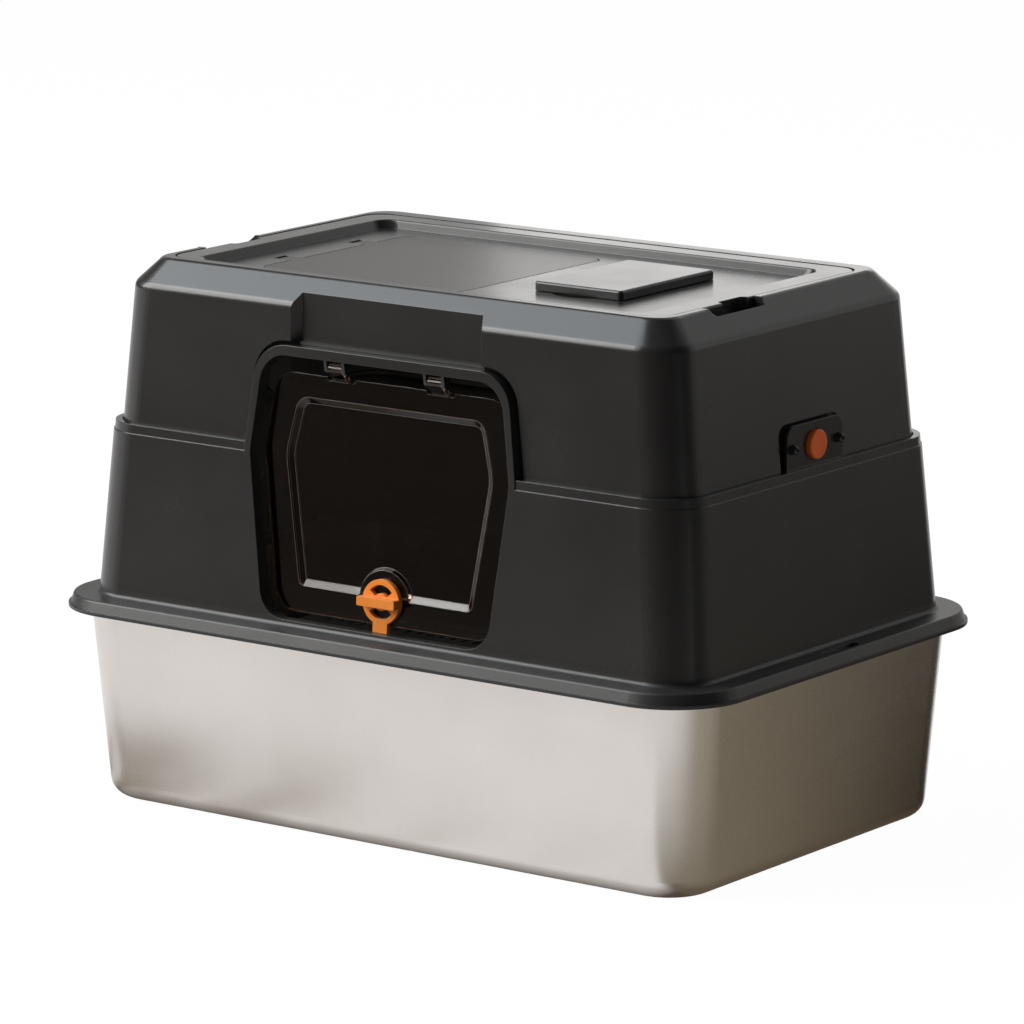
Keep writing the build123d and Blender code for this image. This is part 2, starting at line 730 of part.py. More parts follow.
with BuildPart() as lock_retainer:
    with BuildSketch(door_plane.offset(-seat_inset - dial_gap)):
        with Locations((0, dial_height)):
            Circle(retainer_radius)
            Circle(dial_shaft_radius + running_gap, mode=Mode.SUBTRACT)
    extrude(amount=-retainer_thickness)
lock_retainer.part.label = "lock_retainer"
export_step(lock_retainer.part, "parts/lock_retainer.step")

# Side latches: a sprung button in a housing behind the hood wall, two hollow pegs and two screws on each side
inner_wall_x = pocket_x - wall
flange_x = inner_wall_x - housing_wall
cup_x = inner_wall_x - housing_depth
collar_x = inner_wall_x - collar_gap - collar_thickness
button_face_x = tab_x + button_proud
peg_end_x = tab_x + peg_proud
spring_length = collar_x - cup_x - housing_wall - 2 * spring_end_gap - spring_wire


for name, side in (("right", 1), ("left", -1)):
    with BuildPart() as latch_button:
        bars_along_x(side, collar_x, collar_x + collar_thickness, collar_radius, latch_center)
        bars_along_x(side, collar_x, button_face_x, button_radius, latch_center)
        fillet(latch_button.faces().sort_by(Axis.X)[-1 if side > 0 else 0].edges(), dial_edge_radius)
    latch_button.part.label = "latch_button_" + name
    export_step(latch_button.part, "parts/latch_button_" + name + ".step")

    with BuildPart() as latch_housing:
        with BuildSketch(side_sketch_plane(side * flange_x)):
            with Locations((latch_y, latch_z)):
                RectangleRounded(housing_width, housing_height, tab_corner_radius)
        extrude(amount=side * housing_wall)
        bars_along_x(side, cup_x, inner_wall_x, housing_bore_radius + housing_wall, latch_center)
        bars_along_x(side, cup_x + housing_wall, inner_wall_x, housing_bore_radius, latch_center, Mode.SUBTRACT)
        bars_along_x(side, flange_x, peg_end_x, peg_radius, peg_places)
        peg_ends = sorted((side * (peg_end_x - SAME), side * (peg_end_x + SAME)))
        chamfer(latch_housing.edges().filter_by_position(Axis.X, *peg_ends), peg_chamfer)
        bars_along_x(side, peg_end_x - peg_bore_depth, peg_end_x, peg_bore_radius, peg_places, Mode.SUBTRACT)
        bars_along_x(side, flange_x, inner_wall_x, screw_radius + running_gap, screw_yzs, Mode.SUBTRACT)
    latch_housing.part.label = "latch_housing_" + name
    export_step(latch_housing.part, "parts/latch_housing_" + name + ".step")

    with BuildPart() as latch_spring:
        coil_start = cup_x + housing_wall + spring_end_gap + spring_wire / 2
        with BuildLine() as coil:
            Helix(
                pitch=spring_length / spring_turns,
                height=spring_length,
                radius=spring_radius,
                center=(side * coil_start, latch_y, latch_z),
                direction=(side, 0, 0),
            )
        with BuildSketch(Plane(origin=coil.line @ 0, z_dir=coil.line % 0)):
            Circle(spring_wire / 2)
        sweep(is_frenet=True)
    latch_spring.part.label = "latch_spring_" + name
    export_step(latch_spring.part, "parts/latch_spring_" + name + ".step")
print("gap between spring turns", round(spring_length / spring_turns - spring_wire, 2))

with BuildPart() as latch_screws:
    for side in SIDES:
        bars_along_x(side, flange_x - screw_head_height, flange_x, screw_head_radius, screw_yzs)
        bars_along_x(side, flange_x, flange_x + screw_length, screw_radius, screw_yzs)
latch_screws.part.label = "latch_screws"
export_step(latch_screws.part, "parts/latch_screws.step")

# Top lid: sunken floor inside a hollow border, with openings for the top flap and the deodoriser box
floor_left = -lid_length / 2 + lid_border_side
floor_front = lid_front + lid_border_front
floor_rear = lid_rear - lid_border_rear
hatch_left = hatch_margin_left - lid_length / 2
hatch_right = lid_length / 2 - hatch_margin_right
hatch_front = lid_front + hatch_margin_front
hatch_rear = lid_rear - hatch_margin_rear
hatch_axis_x = hatch_left - arm_length
hatch_axis_z = lid_floor - arm_axis_drop
hatch_middle = ((hatch_left + hatch_right) / 2, (hatch_front + hatch_rear) / 2)
hatch_length = hatch_right - hatch_left
hatch_depth = hatch_rear - hatch_front
arm_ys = (hatch_front + arm_inset_front, hatch_rear - arm_inset_rear)
hatch_pin_length = arm_width + 2 * (arm_gap + hatch_cheek)
cover_center_x = lid_length / 2 - cover_margin_right - cover_width / 2
cover_center_y = lid_middle
cover_front = cover_center_y - cover_depth / 2
box_middle = (cover_center_x, cover_center_y + (box_margin_front - box_margin_rear) / 2)
box_length = cover_width - 2 * box_margin_side
box_width = cover_depth - box_margin_front - box_margin_rear
scoop_center = (cover_center_x + scoop_offset, cover_front - scoop_reach + scoop_radius)
border_hollow = lid_border_side - 2 * lid_plate
border_hollow_front = notch_front + notch_length
border_hollow_length = lid_axis_y - lid_axis_inset - border_hollow_front


def floor_outline(side_run, front_run, rear_run, z):
    """Outline of the lid's sunken floor, drawn in by a run on each side."""
    front = floor_front + front_run
    rear = floor_rear - rear_run
    with BuildSketch(Plane.XY.offset(z), mode=Mode.PRIVATE) as face:
        with Locations((0, (front + rear) / 2)):
            RectangleRounded(-2 * (floor_left + side_run), rear - front, lid_floor_radius)
    return face.sketch


def slab(middle, length, depth, radius, z, height, mode=Mode.ADD):
    """Flat block with rounded corners about a point, from z upwards."""
    with BuildSketch(Plane.XY.offset(z), mode=Mode.PRIVATE) as face:
        with Locations(middle):
            RectangleRounded(length, depth, radius)
    extrude(face.sketch, amount=height, mode=mode)


def cross_sketch_plane(y):
    """Upright plane across the Y axis, with X and Z as its sketch directions."""
    return Plane(origin=(0, y, 0), x_dir=(1, 0, 0), z_dir=(0, -1, 0))


def bar_along_y(y, length, radius, mode=Mode.ADD):
    """Round bar along Y on the top flap's hinge axis, centred at y."""
    with BuildSketch(cross_sketch_plane(y), mode=Mode.PRIVATE) as face:
        with Locations((hatch_axis_x, hatch_axis_z)):
            Circle(radius)
    extrude(face.sketch, amount=length / 2, both=True, mode=mode)


def scoop_block(extra, z, height, mode=Mode.ADD):
    """Round-fronted block of the finger scoop that ends straight under the cover plate."""
    with BuildSketch(Plane.XY.offset(z), mode=Mode.PRIVATE) as face:
        with Locations(scoop_center):
            Circle(scoop_radius + extra)
        with Locations((scoop_center[0], cover_front + cover_wall + extra)):
            Rectangle(4 * scoop_radius, 4 * scoop_radius, align=(Align.CENTER, Align.MAX), mode=Mode.INTERSECT)
    extrude(face.sketch, amount=height, mode=mode)


with BuildPart() as top_lid:
    slab((0, lid_middle), lid_length, lid_depth, lid_radius, lid_under, lid_top - lid_under)
    loft(
        sections=[
            floor_outline(lid_slope_side, lid_slope_front, lid_slope_rear, lid_floor),
            floor_outline(0, 0, 0, lid_top),
        ],
        ruled=True,
        mode=Mode.SUBTRACT,
    )
    fillet(top_lid.faces().sort_by(Axis.Z)[-1].edges(), lid_edge_radius)
    hollow_height = lid_top - lid_plate - lid_under
    for side in SIDES:
        with BuildSketch(Plane.XY.offset(lid_under)):
            with Locations((side * (lid_length - lid_border_side) / 2, border_hollow_front)):
                Rectangle(border_hollow, border_hollow_length, align=(Align.CENTER, Align.MIN))
        extrude(amount=hollow_height, mode=Mode.SUBTRACT)
        # Finger notch in the lid's edge, facing the one in the roof
        with BuildSketch(Plane.XY.offset(lid_under)):
            with Locations((side * lid_length / 2, notch_middle + notch_lid_shift)):
                RectangleRounded(2 * notch_lid_depth, notch_lid_length, notch_radius)
        extrude(amount=lid_top - lid_under, mode=Mode.SUBTRACT)
        pin_cut = (lid_length / 2 - lid_pin_inner, lid_length / 2)
        bars_along_x(side, *pin_cut, lid_pin_radius + running_gap, lid_axis, Mode.SUBTRACT)
    rear_hollow_depth = lid_border_rear - 2 * lid_plate
    with BuildSketch(Plane.XY.offset(lid_under)):
        with Locations((0, lid_rear - lid_border_rear / 2)):
            Rectangle(-2 * (floor_left + lid_slope_side), rear_hollow_depth)
    extrude(amount=hollow_height, mode=Mode.SUBTRACT)
    # Opening for the top flap with the ledge it rests on
    opening_length = hatch_length + 2 * hatch_gap
    opening_depth = hatch_depth + 2 * hatch_gap
    ledge_height = hatch_ledge_thickness + hatch_ledge_gap
    slab(
        hatch_middle,
        opening_length + 2 * lid_plate,
        opening_depth + 2 * lid_plate,
        hatch_radius + hatch_gap + lid_plate,
        lid_under - ledge_height,
        ledge_height,
    )
    slab(
        hatch_middle,
        opening_length - 2 * hatch_ledge,
        opening_depth - 2 * hatch_ledge,
        hatch_radius + hatch_gap - hatch_ledge,
        lid_under - ledge_height,
        ledge_height,
        Mode.SUBTRACT,
    )
    slab(
        hatch_middle,
        opening_length,
        opening_depth,
        hatch_radius + hatch_gap,
        lid_under - hatch_ledge_gap,
        lid_plate + hatch_ledge_gap,
        Mode.SUBTRACT,
    )
    # Slots for the top flap's arms and the cheeks that carry its pins
    slot_end = hatch_axis_x - arm_axis_drop - 2 * hatch_gap
    for arm_y in arm_ys:
        with BuildSketch(Plane.XY.offset(lid_under - hatch_ledge_gap)):
            with Locations((slot_end, arm_y)):
                Rectangle(hatch_left - slot_end, arm_width + 2 * arm_gap, align=(Align.MIN, Align.CENTER))
        extrude(amount=lid_plate + hatch_ledge_gap, mode=Mode.SUBTRACT)
        for side in SIDES:
            cheek_y = arm_y + side * (arm_width / 2 + arm_gap + hatch_cheek / 2)
            with BuildSketch(cross_sketch_plane(cheek_y)):
                with Locations((hatch_axis_x, hatch_axis_z)):
                    Circle(arm_barrel_radius)
                with Locations((hatch_axis_x, lid_under + lid_plate / 2)):
                    Rectangle(2 * arm_barrel_radius, lid_plate)
                make_hull()
            extrude(amount=hatch_cheek / 2, both=True)
        bar_along_y(arm_y, hatch_pin_length, hatch_pin_radius + running_gap, Mode.SUBTRACT)
    # Finger scoop in front of the cover plate and the opening into the deodoriser box
    scoop_block(box_wall, lid_under - scoop_depth - box_wall, scoop_depth + box_wall)
    scoop_block(0, lid_under - scoop_depth, scoop_depth + lid_plate, Mode.SUBTRACT)
    slab(box_middle, box_length, box_width, box_radius, lid_under, lid_plate, Mode.SUBTRACT)
top_lid.part.label = "top_lid"
export_step(top_lid.part, "parts/top_lid.step")

for name, side in (("right", 1), ("left", -1)):
    with BuildPart() as lid_hinge_pin:
        pin_ends = (lid_length / 2 - lid_pin_inner, lid_length / 2 + lid_pin_outer)
        bars_along_x(side, *pin_ends, lid_pin_radius, lid_axis)
    lid_hinge_pin.part.label = "lid_hinge_pin_" + name
    export_step(lid_hinge_pin.part, "parts/lid_hinge_pin_" + name + ".step")

# Top flap: plate with two arms that end in hinge barrels
with BuildPart() as top_flap:
    slab(hatch_middle, hatch_length, hatch_depth, hatch_radius, lid_under, lid_plate)
    for arm_y in arm_ys:
        with BuildSketch(Plane.XY.offset(lid_under)):
            with Locations((hatch_axis_x, arm_y)):
                Rectangle(arm_length + hatch_ledge, arm_width, align=(Align.MIN, Align.CENTER))
        extrude(amount=lid_plate)
        with BuildSketch(cross_sketch_plane(arm_y)):
            with Locations((hatch_axis_x, hatch_axis_z)):
                Circle(arm_barrel_radius)
            with Locations((hatch_axis_x, lid_floor)):
                Rectangle(arm_barrel_radius, arm_axis_drop, align=(Align.MIN, Align.MAX))
        extrude(amount=arm_width / 2, both=True)
        bar_along_y(arm_y, arm_width, hatch_pin_radius + running_gap, Mode.SUBTRACT)
top_flap.part.label = "top_flap"
export_step(top_flap.part, "parts/top_flap.step")

for name, arm_y in zip(("front", "rear"), arm_ys):
    with BuildPart() as top_flap_pin:
        bar_along_y(arm_y, hatch_pin_length, hatch_pin_radius)
    top_flap_pin.part.label = "top_flap_pin_" + name
    export_step(top_flap_pin.part, "parts/top_flap_pin_" + name + ".step")

# Cover plate: a hollow lift-off cap with a rib that drops into the box's opening
cover_middle = (cover_center_x, cover_center_y)
cover_base = lid_floor + cover_floor_gap
cover_top = lid_floor + cover_rise
with BuildPart() as box_cover:
    slab(cover_middle, cover_width, cover_depth, cover_corner_radius, cover_base, cover_top - cover_base)
    fillet(box_cover.faces().sort_by(Axis.Z)[-1].edges(), cover_edge_radius)
    slab(
        cover_middle,
        cover_width - 2 * cover_wall,
        cover_depth - 2 * cover_wall,
        cover_corner_radius - cover_wall,
        cover_base,
        cover_top - cover_wall - cover_base,
        Mode.SUBTRACT,
    )
    rib_height = cover_top - cover_wall - lid_floor + cover_rib_drop
    rib_length = box_length - 2 * cover_rib_gap
    rib_width = box_width - 2 * cover_rib_gap
    with BuildSketch(Plane.XY.offset(lid_floor - cover_rib_drop)):
        with Locations(box_middle):
            RectangleRounded(rib_length, rib_width, box_radius - cover_rib_gap)
            RectangleRounded(
                rib_length - 2 * box_wall,
                rib_width - 2 * box_wall,
                box_radius - cover_rib_gap - box_wall,
                mode=Mode.SUBTRACT,
            )
    extrude(amount=rib_height)
box_cover.part.label = "box_cover"
export_step(box_cover.part, "parts/box_cover.step")

# Deodoriser box under the lid's floor: flanged tray with a slotted bottom, and the pad that lies in it
box_z = lid_under - box_depth
with BuildPart() as deodoriser_box:
    slab(
        box_middle,
        box_length + 2 * box_wall,
        box_width + 2 * box_wall,
        box_radius + box_wall,
        box_z,
        box_depth,
    )
    slab(
        box_middle,
        box_length + 2 * box_wall + 2 * box_flange,
        box_width + 2 * box_wall + 2 * box_flange,
        box_radius + box_wall + box_flange,
        lid_under - box_wall,
        box_wall,
    )
    slab(box_middle, box_length, box_width, box_radius, box_z + box_wall, box_depth, Mode.SUBTRACT)
    with BuildSketch(Plane.XY.offset(box_z)):
        with Locations(box_middle):
            with GridLocations(0, box_slot_pitch, 1, box_slot_count):
                SlotOverall(box_slot_length, box_slot_width)
    extrude(amount=box_wall, mode=Mode.SUBTRACT)
deodoriser_box.part.label = "deodoriser_box"
export_step(deodoriser_box.part, "parts/deodoriser_box.step")

with BuildPart() as carbon_pad:
    slab(
        box_middle,
        box_length - 2 * pad_gap,
        box_width - 2 * pad_gap,
        box_radius - pad_gap,
        box_z + box_wall,
        pad_thickness,
    )
carbon_pad.part.label = "carbon_pad"
export_step(carbon_pad.part, "parts/carbon_pad.step")
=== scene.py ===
from math import radians

import bmesh
import bpy
import numpy as np
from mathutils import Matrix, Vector


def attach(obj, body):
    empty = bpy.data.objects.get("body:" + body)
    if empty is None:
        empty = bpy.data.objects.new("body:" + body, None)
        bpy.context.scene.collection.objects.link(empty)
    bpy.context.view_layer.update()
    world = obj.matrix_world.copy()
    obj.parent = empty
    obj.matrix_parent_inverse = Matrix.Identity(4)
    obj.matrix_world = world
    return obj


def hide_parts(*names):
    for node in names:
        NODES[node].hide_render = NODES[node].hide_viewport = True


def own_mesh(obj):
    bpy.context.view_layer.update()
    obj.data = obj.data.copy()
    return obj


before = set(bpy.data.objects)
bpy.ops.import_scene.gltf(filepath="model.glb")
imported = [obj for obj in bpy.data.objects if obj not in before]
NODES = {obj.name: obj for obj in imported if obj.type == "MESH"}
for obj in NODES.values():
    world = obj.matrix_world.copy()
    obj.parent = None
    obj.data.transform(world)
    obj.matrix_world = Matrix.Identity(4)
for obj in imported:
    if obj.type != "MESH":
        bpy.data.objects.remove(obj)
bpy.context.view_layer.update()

MM = 0.001
WHITE = (1.0, 1.0, 1.0)


# Shader helpers: every finish is one node tree built on object coordinates


class Finish:
    """One node material. Helpers add a node, join it up and hand back its output socket."""

    def __init__(self, name):
        self.material = bpy.data.materials.new(name)
        self.material.use_nodes = True
        self.tree = self.material.node_tree
        self.tree.nodes.clear()
        self.output = self.tree.nodes.new("ShaderNodeOutputMaterial")
        self.place = self.tree.nodes.new("ShaderNodeTexCoord").outputs["Object"]

    def node(self, kind, **inputs):
        made = self.tree.nodes.new(kind)
        for key, value in inputs.items():
            self.feed(made.inputs[key.replace("_", " ")], value)
        return made

    def feed(self, socket, value):
        if isinstance(value, bpy.types.NodeSocket):
            self.tree.links.new(value, socket)
        else:
            socket.default_value = value

    def stretched(self, scale):
        made = self.tree.nodes.new("ShaderNodeMapping")
        self.feed(made.inputs["Vector"], self.place)
        made.inputs["Scale"].default_value = scale
        return made.outputs["Vector"]

    def noise(self, scale, detail=2.0, roughness=0.5, stretch=(1, 1, 1)):
        made = self.node("ShaderNodeTexNoise", Scale=scale, Detail=detail, Roughness=roughness)
        self.feed(made.inputs["Vector"], self.stretched(stretch))
        return made.outputs["Fac"]

    def ramp(self, value, low, high, start=0.3, end=0.7):
        made = self.node("ShaderNodeMapRange", Value=value)
        made.inputs["From Min"].default_value = start
        made.inputs["From Max"].default_value = end
        made.inputs["To Min"].default_value = low
        made.inputs["To Max"].default_value = high
        return made.outputs["Result"]

    def tint(self, value, low, high, start=0.3, end=0.7):
        made = self.tree.nodes.new("ShaderNodeValToRGB")
        self.feed(made.inputs["Fac"], value)
        made.color_ramp.elements[0].position = start
        made.color_ramp.elements[1].position = end
        made.color_ramp.elements[0].color = (*low, 1)
        made.color_ramp.elements[1].color = (*high, 1)
        return made.outputs["Color"]

    def math(self, kind, first, second):
        made = self.tree.nodes.new("ShaderNodeMath")
        made.operation = kind
        self.feed(made.inputs[0], first)
        self.feed(made.inputs[1], second)
        return made.outputs[0]

    def product(self, first, *others):
        for other in others:
            first = self.math("MULTIPLY", first, other)
        return first

    def mixed(self, share, first, second):
        made = self.tree.nodes.new("ShaderNodeMix")
        made.data_type = "RGBA"
        for socket, value in zip((made.inputs[0], made.inputs[6], made.inputs[7]), (share, first, second)):
            self.feed(socket, (*value, 1) if isinstance(value, tuple) else value)
        return made.outputs[2]

    def scaled(self, colour, factor):
        made = self.tree.nodes.new("ShaderNodeVectorMath")
        made.operation = "SCALE"
        self.feed(made.inputs[0], colour)
        self.feed(made.inputs[3], factor)
        return made.outputs[0]

    def bump(self, height, strength, distance, under=None):
        made = self.node("ShaderNodeBump", Height=height)
        made.inputs["Strength"].default_value = strength
        made.inputs["Distance"].default_value = distance
        if under is not None:
            self.feed(made.inputs["Normal"], under)
        return made.outputs["Normal"]

    def soft_edges(self, radius):
        made = self.tree.nodes.new("ShaderNodeBevel")
        made.samples = 6
        made.inputs["Radius"].default_value = radius
        return made.outputs["Normal"]

    def close(self, **inputs):
        shader = self.tree.nodes.new("ShaderNodeBsdfPrincipled")
        for key, value in inputs.items():
            self.feed(shader.inputs[key.replace("_", " ")], value)
        self.tree.links.new(shader.outputs["BSDF"], self.output.inputs["Surface"])
        return self.material


# Finishes of the pieces

GRIT_HEIGHT = 0.05 * MM
FLANGE_TOP = (0.166, 0.170)
CLEAR_IOR = 1.40


def satin_black(name, shade=0.025, edge=0.7 * MM, dull_rim=0.0):
    """Moulded black plastic: fine spark grain, faint cloudy shine, soft edges and, if asked, a duller flange."""
    f = Finish(name)
    grit = f.noise(2600, 2, 0.6)
    cloud = f.noise(14, 3, 0.55)
    low = (shade * 0.95, shade * 0.92, shade * 0.90)
    high = (shade * 1.06, shade * 1.03, shade * 1.01)
    rough = f.ramp(cloud, 0.23, 0.28)
    if dull_rim:
        height = f.node("ShaderNodeSeparateXYZ", Vector=f.place).outputs["Z"]
        rough = f.math("ADD", rough, f.ramp(height, dull_rim, 0.0, *FLANGE_TOP))
    return f.close(
        Base_Color=f.tint(cloud, low, high),
        Roughness=rough,
        Normal=f.bump(grit, 0.07, GRIT_HEIGHT, f.soft_edges(edge)),
    )


def satin_steel(name):
    """Drawn stainless sheet: fine grain along the wall, slow waves from pressing, patchy shine."""
    f = Finish(name)
    grain = f.noise(900, 3, 0.6, (1, 1, 0.35))
    wave = f.noise(5.5, 2, 0.5, (1, 1, 2.2))
    patch = f.noise(9, 3, 0.6)
    return f.close(
        Base_Color=f.tint(patch, (0.685, 0.66, 0.63), (0.73, 0.71, 0.685)),
        Metallic=1.0,
        Roughness=f.ramp(grain, 0.268, 0.274),
        Normal=f.bump(wave, 0.20, 5 * MM),
    )


def hatch_smoke(name):
    """Brown-black sheet with a fine satin grain."""
    f = Finish(name)
    grit = f.noise(1800, 3, 0.65)
    cloud = f.noise(16, 3, 0.55)
    return f.close(
        Base_Color=f.tint(cloud, (0.034, 0.029, 0.026), (0.042, 0.036, 0.033)),
        Roughness=f.ramp(grit, 0.30, 0.36),
        Specular_IOR_Level=0.36,
        Normal=f.bump(grit, 0.12, GRIT_HEIGHT, f.soft_edges(0.6 * MM)),
    )


def smoked_clear(name):
    """Clear brown-black plastic with a faintly uneven polish."""
    f = Finish(name)
    cloud = f.noise(30, 2, 0.5)
    return f.close(
        Base_Color=f.tint(cloud, (0.165, 0.112, 0.078), (0.185, 0.128, 0.09)),
        Roughness=f.ramp(cloud, 0.012, 0.03),
        Transmission_Weight=1.0,
        IOR=CLEAR_IOR,
        Normal=f.bump(cloud, 0.02, 0.4 * MM, f.soft_edges(0.7 * MM)),
    )


def pale_edge_highlight(name):
    """Edge arcs of the clear plastic with a painted highlight: a pale, partly clear colour stands in for the
    bright lines along the edges.
    """
    f = Finish(name)
    cloud = f.noise(80, 2, 0.5)
    return f.close(
        Base_Color=f.tint(cloud, (0.46, 0.40, 0.35), (0.56, 0.49, 0.43)),
        Roughness=f.ramp(cloud, 0.10, 0.18),
        Transmission_Weight=0.35,
        IOR=CLEAR_IOR,
    )


def orange_plastic(name, low, high):
    """Dyed plastic with fine grain and softened edges."""
    f = Finish(name)
    cloud = f.noise(60, 2, 0.5)
    grit = f.noise(3000, 2, 0.6)
    return f.close(
        Base_Color=f.tint(cloud, low, high),
        Roughness=f.ramp(cloud, 0.34, 0.42),
        Normal=f.bump(grit, 0.08, GRIT_HEIGHT, f.soft_edges(0.6 * MM)),
    )


def bright_pin(name):
    """Drawn wire and pins: bright, with fine lengthwise scratches."""
    f = Finish(name)
    scratch = f.noise(700, 2, 0.5, (0.1, 1, 1))
    return f.close(
        Base_Color=f.tint(scratch, (0.52, 0.52, 0.53), (0.66, 0.66, 0.67)),
        Metallic=1.0,
        Roughness=f.ramp(scratch, 0.2, 0.34),
    )


def carbon_felt(name):
    """Matted black felt with short lint."""
    f = Finish(name)
    lint = f.noise(900, 4, 0.7)
    return f.close(
        Base_Color=f.tint(lint, (0.008, 0.008, 0.008), (0.035, 0.034, 0.033)),
        Roughness=0.95,
        Normal=f.bump(lint, 0.6, 0.4 * MM),
        Sheen_Weight=0.2,
    )


SHELL_BLACK = satin_black("shell_black")
RIM_BLACK = satin_black("rim_black", dull_rim=0.15)
LID_BLACK = satin_black("lid_black", edge=1.0 * MM)
HATCH_SMOKE = hatch_smoke("hatch_smoke")
PAN_STEEL = satin_steel("pan_steel")
FLAP_SMOKE = smoked_clear("flap_smoke")
FLAP_EDGE_HIGHLIGHT = pale_edge_highlight("flap_edge_highlight")
DIAL_ORANGE = orange_plastic("dial_orange", (0.87, 0.25, 0.026), (0.92, 0.28, 0.032))
BUTTON_ORANGE = orange_plastic("button_orange", (0.92, 0.155, 0.022), (0.97, 0.175, 0.027))
PIN_BRIGHT = bright_pin("pin_bright")
PAD_FELT = carbon_felt("pad_felt")

FINISHES = {
    "steel_pan": PAN_STEEL,
    "lower_shell": RIM_BLACK,
    "hood": SHELL_BLACK,
    "sieve_step": SHELL_BLACK,
    "top_lid": LID_BLACK,
    "top_flap": HATCH_SMOKE,
    "box_cover": LID_BLACK,
    "deodoriser_box": LID_BLACK,
    "latch_housing_left": SHELL_BLACK,
    "latch_housing_right": SHELL_BLACK,
    "lock_retainer": SHELL_BLACK,
    "front_flap": FLAP_SMOKE,
    "lock_dial": DIAL_ORANGE,
    "latch_button_left": BUTTON_ORANGE,
    "latch_button_right": BUTTON_ORANGE,
    "carbon_pad": PAD_FELT,
}
for node_name, node in NODES.items():
    node.data.materials.clear()
    node.data.materials.append(FINISHES.get(node_name, PIN_BRIGHT))


# Copies that stand in for their solids: the clear flap with rounded edges, and the springs as joined,
# smooth-shaded copies

MERGE_GAP = 0.002 * MM
FLAT_WITHIN = radians(0.5)
SHARP_FROM = radians(25)
FLAP_ARC = 0.6 * MM


def joined_copy(node_name, name, flat_faces):
    """Copy of a solid that stands in for it: its loose triangles are joined, and into flat faces if asked."""
    made = bpy.data.objects.new(name, NODES[node_name].data.copy())
    shape = bmesh.new()
    shape.from_mesh(made.data)
    bmesh.ops.remove_doubles(shape, verts=shape.verts, dist=MERGE_GAP)
    if flat_faces:
        bmesh.ops.dissolve_limit(shape, angle_limit=FLAT_WITHIN, verts=shape.verts, edges=shape.edges)
    shape.to_mesh(made.data)
    shape.free()
    made.data.polygons.foreach_set("use_smooth", np.full(len(made.data.polygons), not flat_faces))
    bpy.context.scene.collection.objects.link(made)
    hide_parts(node_name)
    return made


def rounded_copy(node_name, name, edge, arc_finish):
    """Copy of a solid with flat faces, and an arc of the given radius, in its own finish, on each sharp edge."""
    made = joined_copy(node_name, name, True)
    made.data.materials.append(arc_finish)
    arcs = made.modifiers.new("arcs", "BEVEL")
    arcs.width = edge
    arcs.segments = 3
    arcs.limit_method = "ANGLE"
    arcs.angle_limit = SHARP_FROM
    arcs.material = 1
    return made


# The flap's edge arcs carry a pale painted highlight finish
flap = rounded_copy("front_flap", "front_flap_clear", FLAP_ARC, FLAP_EDGE_HIGHLIGHT)
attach(flap, "front_flap")

for side, inward in (("left", 1), ("right", -1)):
    spring = joined_copy(f"latch_spring_{side}", f"latch_spring_{side}_coil", False)
    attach(spring, "enclosure")
    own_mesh(spring)


# Studio: pale floor with painted reflections, white surround, soft lamps and the camera

# Painted reflection on the right, pale to brown to deep, seen only by shiny surfaces
SIDE_REFLECTION_PALE = (0.34, 0.30, 0.24)
SIDE_REFLECTION_BROWN = (0.205, 0.17, 0.12)
SIDE_REFLECTION_DEEP = (0.028, 0.018, 0.009)
SIDE_REFLECTION_FAR = (0.20, 0.18, 0.165)
# Painted dim reflection further out in front, seen only by shiny surfaces
DIM_REFLECTION_NEAR = (0.33, 0.275, 0.235)
DIM_REFLECTION_FAR = (0.115, 0.083, 0.066)
SHEET_NEAR = (0.95, 0.925, 0.925)
# Painted warm shade patch in the reflected sheet
WARM_SHADE_PATCH = (0.30, 0.25, 0.20)
# Painted contact shadow round the pan's foot, seen only in reflections
FOOT_SHADOW_REFLECTED = (0.10, 0.075, 0.055)
PAPER_LIT = (0.8, 0.8, 0.8)
PAPER_BOUNCE = (0.36, 0.36, 0.36)
PAN_FOOT = (0.2645, 0.1605)
LEFT_SLANT = 0.7
SIDE_SLANT = 1.486


